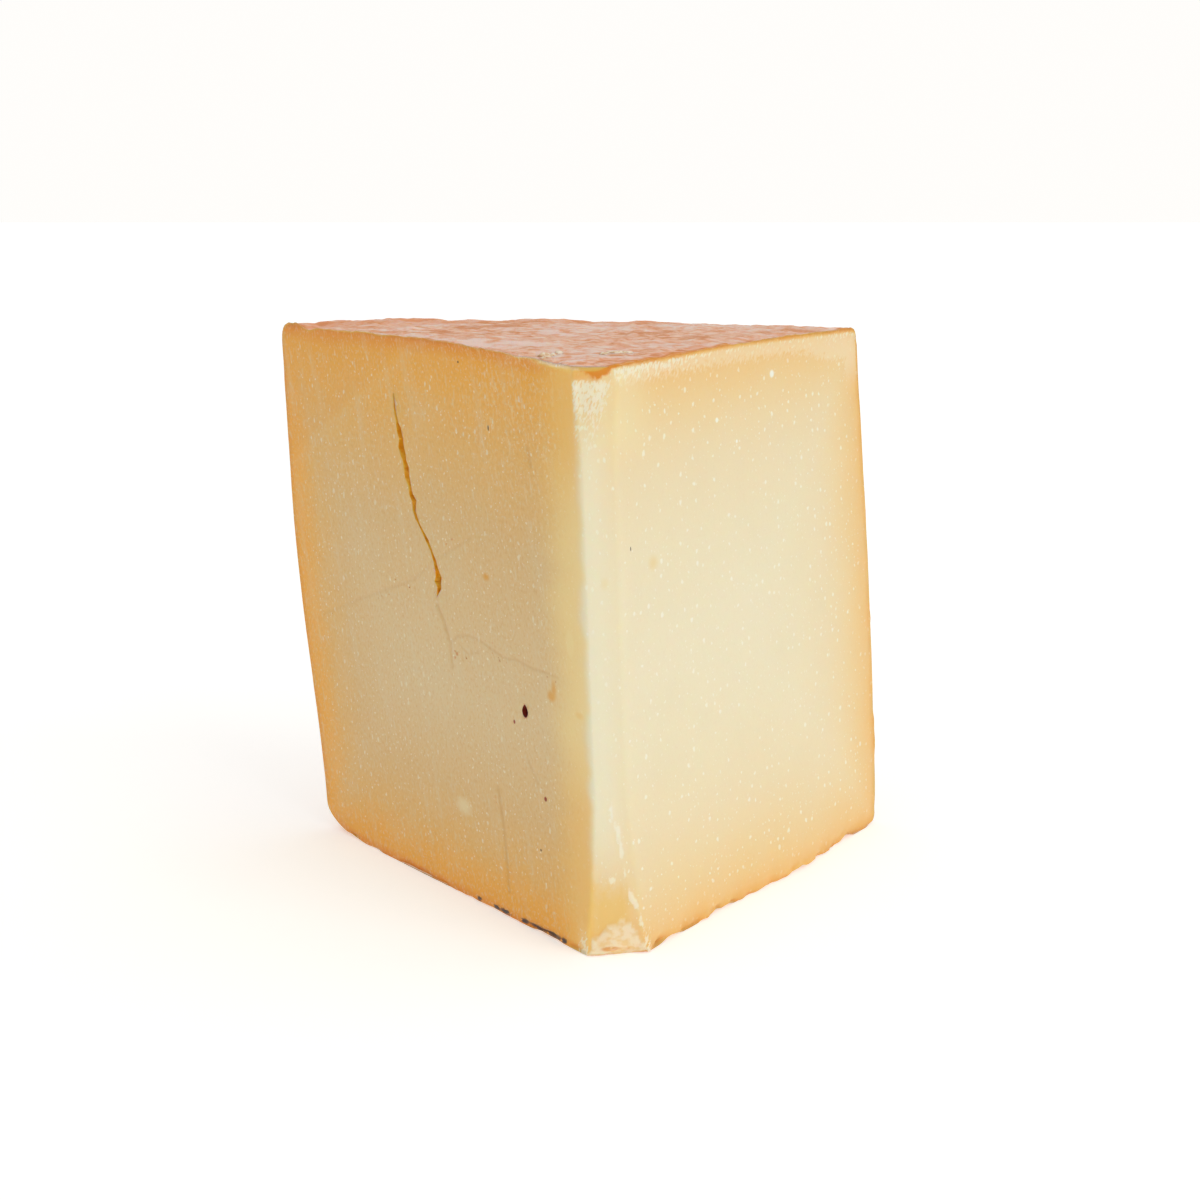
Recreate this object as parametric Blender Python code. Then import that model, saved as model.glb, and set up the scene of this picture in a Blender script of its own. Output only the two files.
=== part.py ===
"""Cheese wedge: one sector of a small aged wheel, cut by hand and stood on its lower rind.

Metres, +Z up. The nose of the wedge points to -Y and the rind arc closes it at +Y. The
origin is the centre of the bounding box's bottom face, so the wedge stands on z = 0.
"""

import math

import bmesh
import bpy
from mathutils import Vector, noise

# Driving dimensions of the wheel and of the two cuts.
HEIGHT = 0.100  # lower rind to upper rind, beside the nose
RADIUS = 0.099  # from the line where the two cuts would meet, out to the rind
LEFT_CUT = math.radians(-35.4)  # direction of each cut, from +Y towards +X
RIGHT_CUT = math.radians(32.7)
MEETING_LINE_LEAN = Vector((-0.0036, -0.0004, 0.0))  # drift of that line, base to top

# How far the rind leaves the true cylinder, at the left cut and at the right cut.
LEFT_BULGE = 0.0068  # the wheel sagged to the left over its upper part
RIGHT_HOLLOW = 0.0066  # and drew in on the right
LEFT_BULGE_RISE = 0.65  # share of the height over which the left side fills out
RIGHT_HOLLOW_CURVE = 1.6
RIND_RIPPLE = 0.0004
RIPPLE_PITCH = 0.011
RIPPLE_START = (0.80, 0.95)  # shares of the radius between which the ripple sets in
RIPPLE_CLEAR_OF_BASE = 0.020
RIPPLE_CLEAR_OF_CUTS = 0.06  # share of the sector
CROWN = 0.0012  # the upper rind is slightly domed
CROWN_FULL = 0.45  # share of the radius where the dome has risen
CROWN_EASE = (0.55, 0.5)  # where it starts to ease, and how far it falls back by the rim
CROWN_ON_RIGHT = 0.65  # the dome is lower along the right cut

# Rounded shoulders of the wheel, as (run along the face, height), left cut to right cut.
BASE_SHOULDER = ((0.016, 0.0050), (0.005, 0.0020))
TOP_SHOULDER = ((0.0035, 0.0024), (0.0025, 0.0016))

# The blunt nose: a fillet pared flat in front, a brow worn back under the upper rind and
# a foot worn back towards the base.
NOSE_RADIUS = 0.0035
NOSE_FLAT = 0.0040  # from the meeting line to the flat
NOSE_TURN = math.radians(9)  # the flat looks a little to the right
BROW_HEIGHT = 0.016
BROW_SETBACK = 0.0013
FOOT_HEIGHT = 0.030
FOOT_SETBACK = 0.0040
FOOT_CURVE = 1.6

# The split in the left cut face: (distance from the meeting line, height, half width).
SPLIT_PATH = (
    (0.0630, 0.0900, 0.00012),
    (0.0620, 0.0842, 0.00055),
    (0.0609, 0.0795, 0.00075),
    (0.0599, 0.0755, 0.00070),
    (0.0583, 0.0712, 0.00055),
    (0.0566, 0.0676, 0.00028),
    (0.0534, 0.0643, 0.00045),
    (0.0515, 0.0608, 0.00050),
    (0.0505, 0.0578, 0.00090),
    (0.0512, 0.0552, 0.00015),
)
SPLIT_DEPTH = 0.0035

# The one open eye in the left cut face.
EYE_PLACE = (0.0241, 0.0394)
EYE_RADII = (0.00080, 0.0016, 0.00114)  # across, into the face, and along its height

# How finely the surface is divided.
SECTOR_STEPS = 26
SHOULDER_STEPS = 4
FACE_STEPS = 6
SIDE_STEPS = 9
NOSE_STEPS = 12


def lerp(a, b, share):
    return a + (b - a) * share


def smooth(share):
    share = min(max(share, 0.0), 1.0)
    return share * share * (3.0 - 2.0 * share)


def meeting_line(z):
    """Point at height z of the line where the two cuts would meet."""
    return MEETING_LINE_LEAN * (z / HEIGHT) + Vector((0.0, 0.0, z))


def direction(share):
    """Level direction out from the meeting line: 0 along the left cut, 1 along the right."""
    angle = lerp(LEFT_CUT, RIGHT_CUT, share)
    return Vector((math.sin(angle), math.cos(angle), 0.0))


def rind_reach(share, z):
    """Distance from the meeting line to the rind's side."""
    rise = z / HEIGHT
    left = RADIUS + LEFT_BULGE * smooth(rise / LEFT_BULGE_RISE)
    right = RADIUS - RIGHT_HOLLOW * rise**RIGHT_HOLLOW_CURVE
    return lerp(left, right, share)


def nose_reach(share, z):
    """Distance from the meeting line to the blunt nose: its fillet, or the flat pared on it."""
    half_apex = (RIGHT_CUT - LEFT_CUT) / 2
    off_middle = (share - 0.5) * 2 * half_apex
    centre = NOSE_RADIUS / math.sin(half_apex)
    across = centre * math.sin(off_middle)
    fillet = centre * math.cos(off_middle) - math.sqrt(max(NOSE_RADIUS**2 - across**2, 0.0))
    low = max(1.0 - z / FOOT_HEIGHT, 0.0)
    high = smooth(1.0 - (HEIGHT - z) / BROW_HEIGHT)
    flat = NOSE_FLAT + FOOT_SETBACK * low**FOOT_CURVE + BROW_SETBACK * high
    return max(fillet, flat / math.cos(lerp(LEFT_CUT, RIGHT_CUT, share) + NOSE_TURN))


def crown(share, reach):
    """Height of the upper rind above HEIGHT: it rises from the nose and eases at the rim."""
    out = reach / RADIUS
    ease_start, ease = CROWN_EASE
    lift = smooth(out / CROWN_FULL) * (1.0 - ease * smooth((out - ease_start) / (1.0 - ease_start)))
    return CROWN * lift * lerp(1.0, CROWN_ON_RIGHT, share)


def shoulder_arc(rim, run, height, steps=SHOULDER_STEPS):
    """(reach, rise) down a quarter ellipse, from the flat face's edge out to the rim."""
    turns = [math.pi / 2 * step / steps for step in range(steps + 1)]
    return [(rim - run + run * math.sin(a), height * (1.0 - math.cos(a))) for a in turns]


def section(share):
    """Closed outline of the wedge in one direction, as (reach, z), foot of the nose first."""
    base_run, base_rise = (lerp(*pair, share) for pair in zip(*BASE_SHOULDER))
    top_run, top_rise = (lerp(*pair, share) for pair in zip(*TOP_SHOULDER))
    low = shoulder_arc(rind_reach(share, base_rise), base_run, base_rise)
    high = shoulder_arc(rind_reach(share, HEIGHT - top_rise), top_run, top_rise)

    foot = nose_reach(share, 0.0)
    base = [(lerp(foot, low[0][0], s / FACE_STEPS), 0.0) for s in range(FACE_STEPS)]
    side_heights = [
        lerp(base_rise, HEIGHT - top_rise, s / SIDE_STEPS) for s in range(1, SIDE_STEPS)
    ]
    side = [(rind_reach(share, z), z) for z in side_heights]
    top_shoulder = [(r, HEIGHT - drop + crown(share, r)) for r, drop in reversed(high)]
    brow = nose_reach(share, HEIGHT)
    top_reaches = [lerp(high[0][0], brow, s / FACE_STEPS) for s in range(1, FACE_STEPS)]
    top = [(r, HEIGHT + crown(share, r)) for r in top_reaches]
    nose_heights = [HEIGHT * (1.0 - s / NOSE_STEPS) for s in range(NOSE_STEPS)]
    nose = [(nose_reach(share, z), z) for z in nose_heights]
    return base + low + side + top_shoulder + top + nose


def ripple(point, reach, share):
    """Small unevenness of the rind, none on the cut faces' own outlines or on the base."""
    start, full = RIPPLE_START
    inside = smooth(min(share, 1.0 - share) / RIPPLE_CLEAR_OF_CUTS)
    outer = smooth((reach / RADIUS - start) / (full - start))
    raised = smooth(point.z / RIPPLE_CLEAR_OF_BASE)
    return RIND_RIPPLE * inside * outer * raised * noise.noise(point / RIPPLE_PITCH)


def place(share, reach, z):
    """World point of a section's (reach, z), with the rind's ripple added."""
    outward = direction(share)
    point = meeting_line(z) + outward * reach
    return point + outward * ripple(point, reach, share)


def link_object(name, mesh):
    item = bpy.data.objects.new(name, mesh)
    bpy.context.scene.collection.objects.link(item)
    return item


def wedge_body():
    """Lofts the section from the left cut round to the right cut and closes both cuts."""
    bm = bmesh.new()
    loops = []
    for step in range(SECTOR_STEPS + 1):
        share = step / SECTOR_STEPS
        loops.append([bm.verts.new(place(share, r, z)) for r, z in section(share)])
    for loop, following in zip(loops, loops[1:]):
        for i, vert in enumerate(loop):
            j = (i + 1) % len(loop)
            bm.faces.new((vert, following[i], following[j], loop[j]))
    bm.faces.new(loops[0])
    bm.faces.new(reversed(loops[-1]))
    bmesh.ops.remove_doubles(bm, verts=bm.verts, dist=1e-6)
    bmesh.ops.recalc_face_normals(bm, faces=bm.faces)
    mesh = bpy.data.meshes.new("cheese_wedge")
    bm.to_mesh(mesh)
    bm.free()
    return link_object("cheese_wedge", mesh)


def left_face_frame():
    """Along, up and outward axes of the left cut face."""
    along = direction(0.0)
    up = (meeting_line(HEIGHT) - meeting_line(0.0)).normalized()
    return along, up, up.cross(along).normalized()


def on_left_face(out, z):
    return meeting_line(z) + direction(0.0) * out


def split_cutter(clearance=0.001):
    """A blade that is widest outside the left cut face and thins to nothing inside it."""
    outward = left_face_frame()[2]
    points = [on_left_face(out, z) for out, z, _ in SPLIT_PATH]
    bm = bmesh.new()
    rows = []
    for i, (_, _, half_width) in enumerate(SPLIT_PATH):
        run = (points[min(i + 1, len(points) - 1)] - points[max(i - 1, 0)]).normalized()
        across = run.cross(outward).normalized() * half_width
        mouth = points[i] + outward * clearance
        floor = points[i] - outward * SPLIT_DEPTH
        rows.append([bm.verts.new(p) for p in (mouth - across, mouth + across, floor)])
    for row, following in zip(rows, rows[1:]):
        for i in range(3):
            j = (i + 1) % 3
            bm.faces.new((row[i], row[j], following[j], following[i]))
    bm.faces.new(rows[0])
    bm.faces.new(rows[-1])
    bmesh.ops.recalc_face_normals(bm, faces=bm.faces)
    mesh = bpy.data.meshes.new("split_cutter")
    bm.to_mesh(mesh)
    bm.free()
    return link_object("split_cutter", mesh)


def eye_cutter():
    """A small upright ellipsoid centred on the left cut face."""
    along, up, outward = left_face_frame()
    bm = bmesh.new()
    bmesh.ops.create_icosphere(bm, subdivisions=2, radius=1.0)
    centre = on_left_face(*EYE_PLACE)
    across, depth, tall = EYE_RADII
    for vert in bm.verts:
        x, y, z = vert.co
        vert.co = centre + along * (across * x) + outward * (depth * y) + up * (tall * z)
    bmesh.ops.recalc_face_normals(bm, faces=bm.faces)
    mesh = bpy.data.meshes.new("eye_cutter")
    bm.to_mesh(mesh)
    bm.free()
    return link_object("eye_cutter", mesh)


def cut(body, cutter):
    """Takes the cutter out of the body and keeps the cutter as a hidden guide."""
    cutter.hide_render = True
    cutter.display_type = "WIRE"
    boolean = body.modifiers.new(cutter.name, "BOOLEAN")
    boolean.operation = "DIFFERENCE"
    boolean.solver = "EXACT"
    boolean.object = cutter


def cheese_material():
    """Dense cream paste with a slightly waxy, satin surface."""
    material = bpy.data.materials.new("aged_cheese")
    material.use_nodes = True
    shader = material.node_tree.nodes["Principled BSDF"]
    shader.inputs["Base Color"].default_value = (0.79, 0.62, 0.33, 1.0)
    shader.inputs["Roughness"].default_value = 0.48
    shader.inputs["Metallic"].default_value = 0.0
    return material


def centre_on_base(objects):
    """Moves everything so that the body's bounding box stands centred on the origin."""
    corners = [Vector(corner) for corner in objects[0].bound_box]
    middle_x = (min(c.x for c in corners) + max(c.x for c in corners)) / 2
    middle_y = (min(c.y for c in corners) + max(c.y for c in corners)) / 2
    for item in objects:
        item.location = (-middle_x, -middle_y, 0.0)


def build():
    body = wedge_body()
    body.data.materials.append(cheese_material())
    cutters = [split_cutter(), eye_cutter()]
    for cutter in cutters:
        cut(body, cutter)
    centre_on_base([body] + cutters)
    body.data.shade_smooth()
    body.data.set_sharp_from_angle(angle=math.radians(30))


for leftover in list(bpy.data.objects):
    bpy.data.objects.remove(leftover)
build()
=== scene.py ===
"""A hand-cut wedge of a small aged cheese wheel, stood on its lower rind in a plain pale studio.

Metres, +Z up; the nose of the wedge points to -Y and the rind closes it at +Y.
"""
import itertools
import math

import bmesh
import bpy
import numpy as np
from mathutils import Matrix, Vector, noise
from mathutils.bvhtree import BVHTree


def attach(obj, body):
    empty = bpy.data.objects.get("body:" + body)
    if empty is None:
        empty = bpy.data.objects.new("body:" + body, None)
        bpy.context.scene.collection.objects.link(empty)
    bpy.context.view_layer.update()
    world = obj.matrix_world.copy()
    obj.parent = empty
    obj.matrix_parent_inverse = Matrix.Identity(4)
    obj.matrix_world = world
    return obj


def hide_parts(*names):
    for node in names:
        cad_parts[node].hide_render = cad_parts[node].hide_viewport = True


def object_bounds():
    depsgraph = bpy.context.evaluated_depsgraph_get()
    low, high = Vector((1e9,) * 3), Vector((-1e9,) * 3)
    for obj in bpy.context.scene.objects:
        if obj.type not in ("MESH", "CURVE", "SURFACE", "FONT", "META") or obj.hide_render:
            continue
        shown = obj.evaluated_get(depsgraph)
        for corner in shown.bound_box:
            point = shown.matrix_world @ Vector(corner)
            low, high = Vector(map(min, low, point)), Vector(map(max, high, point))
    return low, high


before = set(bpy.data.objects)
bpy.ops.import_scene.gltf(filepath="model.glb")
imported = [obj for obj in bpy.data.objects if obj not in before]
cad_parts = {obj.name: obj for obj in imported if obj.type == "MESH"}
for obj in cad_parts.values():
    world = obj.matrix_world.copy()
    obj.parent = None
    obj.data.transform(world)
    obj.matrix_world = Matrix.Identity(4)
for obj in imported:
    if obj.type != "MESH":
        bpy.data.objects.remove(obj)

cad_low, cad_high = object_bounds()

# ---------------------------------------------------------------------------------------
# The studio: a white table seen from a little above the wedge's shoulder, a broad
# softbox over it, a second one to the right of the nose, and a dim room all round.
# ---------------------------------------------------------------------------------------


def lerp(a, b, share):
    return a + (b - a) * share


class Term:
    """A node's output that can stand in a Python expression: each operator adds a Math node."""

    def __init__(self, socket):
        self.socket = socket

    def math(self, operation, *values):
        node = self.socket.id_data.nodes.new("ShaderNodeMath")
        node.operation = operation
        for slot, value in zip(node.inputs, values):
            plug(slot, value)
        return Term(node.outputs[0])

    def __add__(self, other):
        return self.math("ADD", self, other)

    def __sub__(self, other):
        return self.math("SUBTRACT", self, other)

    def __rsub__(self, other):
        return self.math("SUBTRACT", other, self)

    def __mul__(self, other):
        return self.math("MULTIPLY", self, other)

    def __truediv__(self, other):
        return self.math("DIVIDE", self, other)

    def __pow__(self, other):
        return self.math("POWER", self, other)

    __radd__ = __add__
    __rmul__ = __mul__

    def higher(self, other):
        return self.math("MAXIMUM", self, other)

    def size(self):
        return self.math("ABSOLUTE", self)


def plug(slot, value):
    """Links a Term into an input, or sets the input's own value."""
    if isinstance(value, Term):
        slot.id_data.links.new(value.socket, slot)
    else:
        slot.default_value = value


class Finish:
    """A node tree under construction; node() adds any node, its settings before its sockets."""

    def __init__(self, owner):
        owner.use_nodes = True
        self.owner = owner
        self.tree = owner.node_tree
        self.tree.nodes.clear()

    def node(self, kind, settings=None, sockets=None, output=0):
        node = self.tree.nodes.new("ShaderNode" + kind)
        for name, value in (settings or {}).items():
            if name == "stops":
                self.set_stops(node.color_ramp, value)
            else:
                setattr(node, name, value)
        for name, value in (sockets or {}).items():
            plug(node.inputs[name], value)
        return Term(node.outputs[output]) if len(node.outputs) else None

    @staticmethod
    def set_stops(ramp, stops):
        while len(ramp.elements) < len(stops):
            ramp.elements.new(1.0)
        for element, (position, colour) in zip(ramp.elements, stops):
            element.position = position
            element.color = colour

    def between(self, value, low, high):
        """0 below low, 1 above high and an even swell from one to the other."""
        settings = {"interpolation_type": "SMOOTHSTEP"}
        sockets = {"Value": value, "From Min": low, "From Max": high}
        return self.node("MapRange", settings, sockets)

    def mix(self, under, over, share, way="MIX"):
        """The colour under, covered by the colour over as far as share says."""
        settings = {"data_type": "RGBA", "blend_type": way}
        return self.node("Mix", settings, {0: share, 6: under, 7: over}, output=2)


class Coats:
    """Colours of one finish, each laid over those before it as far as its share says."""

    def __init__(self, finish, ground):
        self.finish = finish
        self.colour = ground

    def lay(self, colour, share):
        self.colour = self.finish.mix(self.colour, colour, share)


def tone(red, green, blue):
    """A linear colour from the 0 to 255 values of a paint chart."""
    shares = [value / 255 for value in (red, green, blue)]
    linear = [s / 12.92 if s <= 0.04045 else ((s + 0.055) / 1.055) ** 2.4 for s in shares]
    return (*linear, 1.0)


def link_object(name, data):
    item = bpy.data.objects.new(name, data)
    bpy.context.scene.collection.objects.link(item)
    return item


scene = bpy.context.scene
scene.view_settings.view_transform = "Standard"

LOOKS_DOWN = math.radians(11.46)
camera = link_object("camera", bpy.data.cameras.new("camera"))
camera.location = (0.0031, -0.3969, 0.1326)
camera.rotation_euler = (math.pi / 2 - LOOKS_DOWN, 0.0, 0.0)
camera.data.lens = 66.0
camera.data.sensor_width = 36.0
scene.camera = camera

TABLE_HALF = 4.0
bm = bmesh.new()
bmesh.ops.create_grid(bm, x_segments=1, y_segments=1, size=TABLE_HALF)
table_mesh = bpy.data.meshes.new("table_top")
bm.to_mesh(table_mesh)
bm.free()
table = link_object("table_top", table_mesh)
white = Finish(bpy.data.materials.new("table_white"))
table_shader = white.node("BsdfPrincipled", None, {
    "Base Color": (0.86, 0.86, 0.85, 1),
    "Roughness": 0.9,
    "Emission Color": (1.0, 0.99, 0.97, 1),
    "Emission Strength": 0.38,
})
white.node("OutputMaterial", None, {"Surface": table_shader})
table_mesh.materials.append(white.owner)

ROOM_LIGHT = 0.25  # how much light comes from all round; the surroundings look full white
room = Finish(bpy.data.worlds.new("room"))
camera_sees = room.node("LightPath")
strength = camera_sees * (1.0 - ROOM_LIGHT) + ROOM_LIGHT
backdrop = room.node("Background", None, {"Color": (1.0, 0.985, 0.96, 1), "Strength": strength})
room.node("OutputWorld", None, {"Surface": backdrop})
scene.world = room.owner


def soft_lamp(name, direction, spread_degrees, strength, colour=(1.0, 1.0, 1.0)):
    """A very broad lamp far off in one direction from the table."""
    lamp = link_object(name, bpy.data.lights.new(name, "SUN"))
    lamp.data.angle = math.radians(spread_degrees)
    lamp.data.energy = strength
    lamp.data.color = colour
    lamp.rotation_euler = Vector(direction).to_track_quat("Z", "Y").to_euler()
    return lamp


soft_lamp("softbox_above", (0.10, 0.05, 1.0), 100.0, 1.42)
soft_lamp("softbox_right", (0.72, -0.70, 0.52), 42.0, 0.71)
soft_lamp("low_fill_left", (-1.0, -0.45, 0.10), 70.0, 0.11, (1.0, 0.92, 0.74))

# ---------------------------------------------------------------------------------------
# The cheese: one piece of dense, aged paste with its own dried skin, the rind. The wheel
# stood on this lower rind as it ripened and sagged a little to the left; two strokes of a
# knife through its middle cut the wedge out and left a blunt, crumbly nose.
# ---------------------------------------------------------------------------------------

HEIGHT = 0.100  # lower rind to upper rind, beside the nose
RADIUS = 0.099  # from the line where the two cuts would meet, out to the rind
LEFT_CUT = math.radians(-35.4)  # direction of each cut, from +Y towards +X
RIGHT_CUT = math.radians(32.7)
SECTOR = RIGHT_CUT - LEFT_CUT
MEETING_LINE_LEAN = (-0.0036, -0.0004)  # drift of that line, base to top
LEFT_BULGE = 0.0068  # the wheel sagged to the left over its upper part
LEFT_BULGE_RISE = 0.65  # share of the height over which the left side fills out
RIGHT_HOLLOW = 0.0066  # and drew in on the right
RIGHT_HOLLOW_CURVE = 1.6
CROWN = 0.0012  # the upper rind is slightly domed
CROWN_FULL = 0.45  # share of the radius where the dome has risen
CROWN_EASE = (0.55, 0.5)  # where it starts to ease, and how far it falls back by the rim
CROWN_ON_RIGHT = 0.65
BASE_SHOULDER = ((0.016, 0.0050), (0.005, 0.0020))  # (run, height), left cut and right cut
TOP_SHOULDER = ((0.0035, 0.0024), (0.0025, 0.0016))
NOSE_RADIUS = 0.0035
NOSE_FLAT = 0.0040  # from the meeting line to the flat pared on the nose
NOSE_TURN = math.radians(9)  # the flat looks a little to the right
BROW_HEIGHT = 0.016
BROW_SETBACK = 0.0013
FOOT_HEIGHT = 0.030
FOOT_SETBACK = 0.0034
FOOT_CURVE = 1.6
EDGE_WEAR = 0.0006  # how softly the flat runs into the left cut face
FOOT_WEAR = 0.0012  # more so at the foot
RIGHT_WEAR = 1.5  # and towards the right cut face, by so many times

WELD = 2e-6
ON_LEFT_FACE = 0.00002  # how near the left cut counts as on it
FINE_STEP = 0.0003  # mesh steps beside the edges, where the cheese crumbles
COARSE_STEP = 0.0010  # and across the smooth middle of each face
EDGE_BAND = 0.008


def smooth(share):
    share = np.clip(share, 0.0, 1.0)
    return share * share * (3.0 - 2.0 * share)


def bell(value, centre, half_width):
    """1 at the centre, easing to 0 a half width away on either side."""
    return smooth(1.0 - np.abs(value - centre) / half_width)


# Large odd numbers that turn the place of a cell into a draw of its own.
SCRAMBLE = (374761393, 668265263, 1440662683, 1274126177, 1103515245)


def grain(points, pitch, seed=0):
    """Smooth noise between -1 and 1 at each point, in bumps about one pitch across."""
    cell = points / pitch
    corner = np.floor(cell).astype(np.int64)
    part = smooth(cell - corner)
    total = np.zeros(len(points))
    for offset in itertools.product((0, 1), repeat=3):
        weight = np.prod(np.where(offset, part, 1.0 - part), axis=1)
        x, y, z = (corner + offset).T
        mixed = x * SCRAMBLE[0] + y * SCRAMBLE[1] + z * SCRAMBLE[2] + seed * SCRAMBLE[3]
        mixed = (mixed ^ (mixed >> 13)) * SCRAMBLE[4]
        mixed = mixed ^ (mixed >> 16)
        total += weight * ((mixed & 0xFFFF) / 32767.5 - 1.0)
    return total


def rind_reach(share, z):
    """Distance from the meeting line to the rind's side."""
    left = RADIUS + LEFT_BULGE * smooth(z / HEIGHT / LEFT_BULGE_RISE)
    right = RADIUS - RIGHT_HOLLOW * np.clip(z / HEIGHT, 0, None) ** RIGHT_HOLLOW_CURVE
    return lerp(left, right, share)


def nose_reach(share, z):
    """Distance from the meeting line to the blunt nose: its fillet, or the flat pared on it."""
    half_apex = SECTOR / 2
    off_middle = (share - 0.5) * 2 * half_apex
    centre = NOSE_RADIUS / math.sin(half_apex)
    across = centre * np.sin(off_middle)
    fillet = centre * np.cos(off_middle) - np.sqrt(np.clip(NOSE_RADIUS**2 - across**2, 0, None))
    low = np.clip(1.0 - z / FOOT_HEIGHT, 0, 1)
    high = smooth(1.0 - (HEIGHT - z) / BROW_HEIGHT)
    flat = NOSE_FLAT + FOOT_SETBACK * low**FOOT_CURVE + BROW_SETBACK * high
    flat = flat / np.cos(lerp(LEFT_CUT, RIGHT_CUT, share) + NOSE_TURN)
    wear = (EDGE_WEAR + FOOT_WEAR * low) * (1.0 + RIGHT_WEAR * smooth((share - 0.45) / 0.5))
    return (fillet + flat + np.sqrt((fillet - flat) ** 2 + wear**2)) / 2


def crown(share, reach):
    """Height of the upper rind above HEIGHT."""
    out = reach / RADIUS
    eases_at, fall = CROWN_EASE
    lift = smooth(out / CROWN_FULL) * (1.0 - fall * smooth((out - eases_at) / (1.0 - eases_at)))
    return CROWN * lift * lerp(1.0, CROWN_ON_RIGHT, share)


def place(share, reach, z):
    """Points at a distance from the meeting line, still measured from that line's foot."""
    angle = lerp(LEFT_CUT, RIGHT_CUT, share)
    x = MEETING_LINE_LEAN[0] * z / HEIGHT + np.sin(angle) * reach
    y = MEETING_LINE_LEAN[1] * z / HEIGHT + np.cos(angle) * reach
    return np.stack(np.broadcast_arrays(x, y, z), axis=-1)


def stations(length):
    """Shares of a length, in fine steps near both ends and coarse ones between."""
    marks = [0.0]
    while marks[-1] < length:
        near = min(marks[-1], length - marks[-1])
        marks.append(marks[-1] + lerp(FINE_STEP, COARSE_STEP, float(smooth(near / EDGE_BAND))))
    return np.array(marks) / marks[-1]


UP_STATIONS = stations(HEIGHT)
OUT_STATIONS = stations(RADIUS)
NOSE_COLUMNS = 22
DOUBLED_AT = (0.013, 0.027, 0.054)  # distances out where the rind's columns double
SHOULDER_TURNS = 24
SIDE_HEIGHTS = 80


def column_shares(count):
    """Shares from the left cut to the right, closer together beside the cuts."""
    even = np.linspace(0.0, 1.0, count + 1)
    return even - 0.5 * np.sin(2 * math.pi * even) / (2 * math.pi)


def columns_at(reach):
    """How many columns the lower and upper rind have that far out."""
    return NOSE_COLUMNS * 2 ** sum(reach >= limit for limit in DOUBLED_AT)


def shoulder(pair, share):
    """Run and height of a rounded shoulder, between its values at the two cuts."""
    return (lerp(pair[0][i], pair[1][i], share) for i in (0, 1))


def rim_line(share):
    """(reach, z) up the rind at each height station: base shoulder, side, top shoulder."""
    base_run, base_rise = shoulder(BASE_SHOULDER, share)
    top_run, top_rise = shoulder(TOP_SHOULDER, share)
    turns = np.linspace(0, math.pi / 2, SHOULDER_TURNS)
    low_rim = rind_reach(share, base_rise)
    high_rim = rind_reach(share, HEIGHT - top_rise)
    reach = list(low_rim - base_run + base_run * np.sin(turns))
    z = list(base_rise * (1 - np.cos(turns)))
    side = np.linspace(base_rise, HEIGHT - top_rise, SIDE_HEIGHTS)[1:-1]
    reach += list(rind_reach(share, side))
    z += list(side)
    reach += list(high_rim - top_run + top_run * np.cos(turns))
    z += list(HEIGHT - top_rise * (1 - np.sin(turns)))
    reach, z = np.array(reach), np.array(z)
    z = z + crown(share, reach) * smooth((z - HEIGHT + top_rise) / top_rise)
    run = np.concatenate([[0], np.cumsum(np.hypot(np.diff(reach), np.diff(z)))])
    wanted = UP_STATIONS * run[-1]
    return np.interp(wanted, run, reach), np.interp(wanted, run, z)


def nose_line(share):
    """(reach, z) up the nose at each height station."""
    brow_z = HEIGHT + crown(share, nose_reach(share, HEIGHT))
    z = UP_STATIONS * brow_z
    return nose_reach(share, z), z


def cut_face(share):
    """A grid over one cut face, spread evenly between its four edges."""
    rim_reach, rim_z = rim_line(share)
    nose, nose_z = nose_line(share)
    u = OUT_STATIONS[None, :]
    v = UP_STATIONS[:, None]
    foot_reach = lerp(nose[0], rim_reach[0], u)
    brow_reach = lerp(nose[-1], rim_reach[-1], u)
    brow_z = HEIGHT + crown(share, brow_reach)
    reach = lerp(nose[:, None], rim_reach[:, None], u) + lerp(foot_reach, brow_reach, v)
    corners = lerp(lerp(nose[0], rim_reach[0], u), lerp(nose[-1], rim_reach[-1], u), v)
    z = lerp(nose_z[:, None], rim_z[:, None], u) + lerp(0.0, brow_z, v)
    z_corners = lerp(lerp(nose_z[0], rim_z[0], u), lerp(brow_z[0, 0], brow_z[0, -1], u), v)
    return place(share, reach - corners, z - z_corners)


verts, faces = [], []


def add_row(points):
    """Adds one row of vertices and returns their numbers."""
    first = len(verts)
    verts.extend(points)
    return list(range(first, len(verts)))


def bridge(row, following):
    """Quads between two equal rows, or three triangles a step where the next has twice as many."""
    if len(following) < len(row):
        row, following = following, row
    if len(row) == len(following):
        faces.extend(zip(row, row[1:], following[1:], following))
        return
    for i in range(len(row) - 1):
        a, b = row[i], row[i + 1]
        c, d, e = following[2 * i : 2 * i + 3]
        faces.extend([(a, c, d), (a, d, b), (b, d, e)])


def add_patch(rows):
    """Adds a patch of surface from its rows of points."""
    numbered = [add_row(row) for row in rows]
    for row, following in zip(numbered, numbered[1:]):
        bridge(row, following)


for share in (0.0, 1.0):
    add_patch(cut_face(share))


def upright_band(line, shares):
    """Rows of points between the two cuts, from a line worked out at each share."""
    reaches, heights = np.array([line(share) for share in shares]).transpose(1, 2, 0)
    add_patch(place(shares, reach, z) for reach, z in zip(reaches, heights))
    return reaches


upright_band(nose_line, column_shares(NOSE_COLUMNS))
rim_shares = column_shares(columns_at(RADIUS))
rim_reaches = upright_band(rim_line, rim_shares)


def rind_disc(z, rim_reach):
    """The lower or upper rind, in rows out from the nose."""
    for out in OUT_STATIONS:
        shares = column_shares(columns_at(lerp(0.0, rim_reach[0], out)))
        rim = np.interp(shares, rim_shares, rim_reach)
        reach = lerp(nose_reach(shares, z), rim, out)
        height = z + crown(shares, reach) if z else np.zeros(len(reach))
        yield place(shares, reach, height)


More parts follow.
